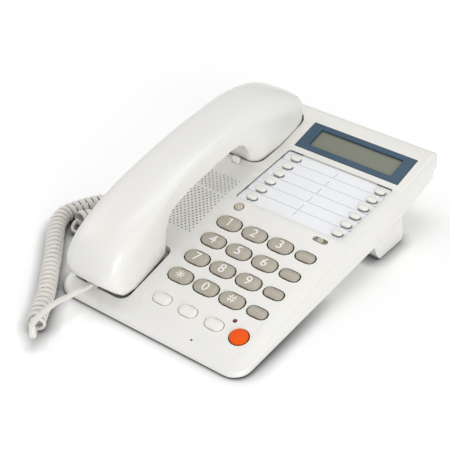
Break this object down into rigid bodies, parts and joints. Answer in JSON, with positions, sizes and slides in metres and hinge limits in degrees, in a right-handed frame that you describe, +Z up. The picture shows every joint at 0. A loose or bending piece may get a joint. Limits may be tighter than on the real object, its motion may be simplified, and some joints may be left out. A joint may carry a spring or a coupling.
{
  "type": "corded desk telephone",
  "caption": "Corded desk telephone: wedge-shaped base with keypad, memory keys, card panel and display, a cradled handset, a coiled cord and a rear desk stand.",
  "frame": {"origin": "on the table, under the middle of the base's plan outline (base width and depth)", "axes": "+X to the user's right, +Y from the front edge to the rear edge, +Z up"},
  "size_m": [0.2078, 0.2851, 0.0796],
  "materials": {
    "ivory_shell": "fine semi-matt moulding",
    "lower_shell": "matt moulding",
    "tan_keys": "satin",
    "white_keys": "satin",
    "orange_key": "satin",
    "blue_bezel": "gloss",
    "display_glass": "gloss, grey-green",
    "card_stock": "printed card",
    "clear_plastic": "clear, gloss",
    "grey_rubber": "matt",
    "circuit_board": "lacquered board",
    "dark_plastic": "matt",
    "lamp_lens": "gloss",
    "ivory_cord": "soft vinyl"
  },
  "bodies": {
    "base": {"upper_housing": "ivory_shell", "lower_housing": "lower_shell", "desk_stand": "ivory_shell", "foot_left": "grey_rubber", "foot_right": "grey_rubber", "key_mat": "grey_rubber", "dial_board": "circuit_board", "memory_board": "circuit_board", "speaker": "dark_plastic", "display_window": "blue_bezel", "lcd_panel": "display_glass", "index_card": "card_stock", "led_lens": "lamp_lens", "wall_hook": "ivory_shell", "handset_lead": "ivory_cord", "cord_coil": "ivory_cord", "base_lead": "ivory_cord", "base_plug": "clear_plastic"},
    "handset": {"handset_body": "ivory_shell", "handset_inner": "ivory_shell", "receiver": "dark_plastic", "handset_mic": "dark_plastic", "handset_plug": "clear_plastic"},
    "hook": {"hook_switch": "white_keys"},
    "ringer": {"ringer_switch": "tan_keys"},
    "cover": {"card_cover": "clear_plastic"},
    "key_1_cap": {"key_1": "tan_keys"},
    "key_2_cap": {"key_2": "tan_keys"},
    "key_3_cap": {"key_3": "tan_keys"},
    "key_4_cap": {"key_4": "tan_keys"},
    "key_5_cap": {"key_5": "tan_keys"},
    "key_6_cap": {"key_6": "tan_keys"},
    "key_7_cap": {"key_7": "tan_keys"},
    "key_8_cap": {"key_8": "tan_keys"},
    "key_9_cap": {"key_9": "tan_keys"},
    "key_star_cap": {"key_star": "tan_keys"},
    "key_0_cap": {"key_0": "tan_keys"},
    "key_hash_cap": {"key_hash": "tan_keys"},
    "function_key_1_cap": {"function_key_1": "tan_keys"},
    "function_key_2_cap": {"function_key_2": "tan_keys"},
    "function_key_3_cap": {"function_key_3": "tan_keys"},
    "function_key_4_cap": {"function_key_4": "tan_keys"},
    "lower_key_1_cap": {"lower_key_1": "white_keys"},
    "lower_key_2_cap": {"lower_key_2": "white_keys"},
    "lower_key_3_cap": {"lower_key_3": "white_keys"},
    "handsfree_key_cap": {"handsfree_key": "orange_key"},
    "volume_key_cap": {"volume_key": "tan_keys"},
    "memory_key_1_cap": {"memory_key_1": "white_keys"},
    "memory_key_2_cap": {"memory_key_2": "white_keys"},
    "memory_key_3_cap": {"memory_key_3": "white_keys"},
    "memory_key_4_cap": {"memory_key_4": "white_keys"},
    "memory_key_5_cap": {"memory_key_5": "white_keys"},
    "memory_key_6_cap": {"memory_key_6": "white_keys"},
    "memory_key_7_cap": {"memory_key_7": "white_keys"},
    "memory_key_8_cap": {"memory_key_8": "white_keys"},
    "memory_key_9_cap": {"memory_key_9": "white_keys"},
    "memory_key_10_cap": {"memory_key_10": "white_keys"},
    "memory_key_11_cap": {"memory_key_11": "white_keys"},
    "memory_key_12_cap": {"memory_key_12": "white_keys"}
  },
  "joints": [
    {"name": "handset_lift", "type": "slide", "parent": "base", "child": "handset", "axis": [0, -0.184, 0.9829], "range_m": [0, 0.05]},
    {"name": "hook_rise", "type": "slide", "parent": "base", "child": "hook", "axis": [0, -0.184, 0.9829], "range_m": [0, 0.0025], "stiffness_N_per_m": 60, "springref_m": 0.0035},
    {"name": "ringer_slide", "type": "slide", "parent": "base", "child": "ringer", "axis": [1, 0, 0], "range_m": [-0.0033, 0.0033]},
    {"name": "cover_lift", "type": "slide", "parent": "base", "child": "cover", "axis": [0, -0.0976, 0.9952], "range_m": [0, 0.012]},
    {"name": "key_1_press", "type": "slide", "parent": "base", "child": "key_1_cap", "axis": [0, 0.2351, -0.972], "range_m": [0, 0.0008], "stiffness_N_per_m": 350, "springref_m": -0.0008},
    {"name": "key_2_press", "type": "slide", "parent": "base", "child": "key_2_cap", "axis": [0, 0.2351, -0.972], "range_m": [0, 0.0008], "stiffness_N_per_m": 350, "springref_m": -0.0008},
    {"name": "key_3_press", "type": "slide", "parent": "base", "child": "key_3_cap", "axis": [0, 0.2351, -0.972], "range_m": [0, 0.0008], "stiffness_N_per_m": 350, "springref_m": -0.0008},
    {"name": "key_4_press", "type": "slide", "parent": "base", "child": "key_4_cap", "axis": [0, 0.2351, -0.972], "range_m": [0, 0.0008], "stiffness_N_per_m": 350, "springref_m": -0.0008},
    {"name": "key_5_press", "type": "slide", "parent": "base", "child": "key_5_cap", "axis": [0, 0.2351, -0.972], "range_m": [0, 0.0008], "stiffness_N_per_m": 350, "springref_m": -0.0008},
    {"name": "key_6_press", "type": "slide", "parent": "base", "child": "key_6_cap", "axis": [0, 0.2351, -0.972], "range_m": [0, 0.0008], "stiffness_N_per_m": 350, "springref_m": -0.0008},
    {"name": "key_7_press", "type": "slide", "parent": "base", "child": "key_7_cap", "axis": [0, 0.2351, -0.972], "range_m": [0, 0.0008], "stiffness_N_per_m": 350, "springref_m": -0.0008},
    {"name": "key_8_press", "type": "slide", "parent": "base", "child": "key_8_cap", "axis": [0, 0.2351, -0.972], "range_m": [0, 0.0008], "stiffness_N_per_m": 350, "springref_m": -0.0008},
    {"name": "key_9_press", "type": "slide", "parent": "base", "child": "key_9_cap", "axis": [0, 0.2351, -0.972], "range_m": [0, 0.0008], "stiffness_N_per_m": 350, "springref_m": -0.0008},
    {"name": "key_star_press", "type": "slide", "parent": "base", "child": "key_star_cap", "axis": [0, 0.2351, -0.972], "range_m": [0, 0.0008], "stiffness_N_per_m": 350, "springref_m": -0.0008},
    {"name": "key_0_press", "type": "slide", "parent": "base", "child": "key_0_cap", "axis": [0, 0.2351, -0.972], "range_m": [0, 0.0008], "stiffness_N_per_m": 350, "springref_m": -0.0008},
    {"name": "key_hash_press", "type": "slide", "parent": "base", "child": "key_hash_cap", "axis": [0, 0.2351, -0.972], "range_m": [0, 0.0008], "stiffness_N_per_m": 350, "springref_m": -0.0008},
    {"name": "function_key_1_press", "type": "slide", "parent": "base", "child": "function_key_1_cap", "axis": [0, 0.2351, -0.972], "range_m": [0, 0.0008], "stiffness_N_per_m": 350, "springref_m": -0.0008},
    {"name": "function_key_2_press", "type": "slide", "parent": "base", "child": "function_key_2_cap", "axis": [0, 0.2351, -0.972], "range_m": [0, 0.0008], "stiffness_N_per_m": 350, "springref_m": -0.0008},
    {"name": "function_key_3_press", "type": "slide", "parent": "base", "child": "function_key_3_cap", "axis": [0, 0.2351, -0.972], "range_m": [0, 0.0008], "stiffness_N_per_m": 350, "springref_m": -0.0008},
    {"name": "function_key_4_press", "type": "slide", "parent": "base", "child": "function_key_4_cap", "axis": [0, 0.2351, -0.972], "range_m": [0, 0.0008], "stiffness_N_per_m": 350, "springref_m": -0.0008},
    {"name": "lower_key_1_press", "type": "slide", "parent": "base", "child": "lower_key_1_cap", "axis": [0, 0.2351, -0.972], "range_m": [0, 0.0008], "stiffness_N_per_m": 350, "springref_m": -0.0008},
    {"name": "lower_key_2_press", "type": "slide", "parent": "base", "child": "lower_key_2_cap", "axis": [0, 0.2351, -0.972], "range_m": [0, 0.0008], "stiffness_N_per_m": 350, "springref_m": -0.0008},
    {"name": "lower_key_3_press", "type": "slide", "parent": "base", "child": "lower_key_3_cap", "axis": [0, 0.2351, -0.972], "range_m": [0, 0.0008], "stiffness_N_per_m": 350, "springref_m": -0.0008},
    {"name": "handsfree_key_press", "type": "slide", "parent": "base", "child": "handsfree_key_cap", "axis": [0, 0.2351, -0.972], "range_m": [0, 0.0008], "stiffness_N_per_m": 350, "springref_m": -0.0008},
    {"name": "volume_key_press", "type": "slide", "parent": "base", "child": "volume_key_cap", "axis": [0, 0.2351, -0.972], "range_m": [0, 0.0008], "stiffness_N_per_m": 350, "springref_m": -0.0008},
    {"name": "memory_key_1_press", "type": "slide", "parent": "base", "child": "memory_key_1_cap", "axis": [0, 0.0976, -0.9952], "range_m": [0, 0.0008], "stiffness_N_per_m": 350, "springref_m": -0.0008},
    {"name": "memory_key_2_press", "type": "slide", "parent": "base", "child": "memory_key_2_cap", "axis": [0, 0.0976, -0.9952], "range_m": [0, 0.0008], "stiffness_N_per_m": 350, "springref_m": -0.0008},
    {"name": "memory_key_3_press", "type": "slide", "parent": "base", "child": "memory_key_3_cap", "axis": [0, 0.0976, -0.9952], "range_m": [0, 0.0008], "stiffness_N_per_m": 350, "springref_m": -0.0008},
    {"name": "memory_key_4_press", "type": "slide", "parent": "base", "child": "memory_key_4_cap", "axis": [0, 0.0976, -0.9952], "range_m": [0, 0.0008], "stiffness_N_per_m": 350, "springref_m": -0.0008},
    {"name": "memory_key_5_press", "type": "slide", "parent": "base", "child": "memory_key_5_cap", "axis": [0, 0.0976, -0.9952], "range_m": [0, 0.0008], "stiffness_N_per_m": 350, "springref_m": -0.0008},
    {"name": "memory_key_6_press", "type": "slide", "parent": "base", "child": "memory_key_6_cap", "axis": [0, 0.0976, -0.9952], "range_m": [0, 0.0008], "stiffness_N_per_m": 350, "springref_m": -0.0008},
    {"name": "memory_key_7_press", "type": "slide", "parent": "base", "child": "memory_key_7_cap", "axis": [0, 0.0976, -0.9952], "range_m": [0, 0.0008], "stiffness_N_per_m": 350, "springref_m": -0.0008},
    {"name": "memory_key_8_press", "type": "slide", "parent": "base", "child": "memory_key_8_cap", "axis": [0, 0.0976, -0.9952], "range_m": [0, 0.0008], "stiffness_N_per_m": 350, "springref_m": -0.0008},
    {"name": "memory_key_9_press", "type": "slide", "parent": "base", "child": "memory_key_9_cap", "axis": [0, 0.0976, -0.9952], "range_m": [0, 0.0008], "stiffness_N_per_m": 350, "springref_m": -0.0008},
    {"name": "memory_key_10_press", "type": "slide", "parent": "base", "child": "memory_key_10_cap", "axis": [0, 0.0976, -0.9952], "range_m": [0, 0.0008], "stiffness_N_per_m": 350, "springref_m": -0.0008},
    {"name": "memory_key_11_press", "type": "slide", "parent": "base", "child": "memory_key_11_cap", "axis": [0, 0.0976, -0.9952], "range_m": [0, 0.0008], "stiffness_N_per_m": 350, "springref_m": -0.0008},
    {"name": "memory_key_12_press", "type": "slide", "parent": "base", "child": "memory_key_12_cap", "axis": [0, 0.0976, -0.9952], "range_m": [0, 0.0008], "stiffness_N_per_m": 350, "springref_m": -0.0008}
  ],
  "couplings": [
    {"joint": "hook_rise", "follows": "handset_lift", "ratio": 0.05}
  ]
}
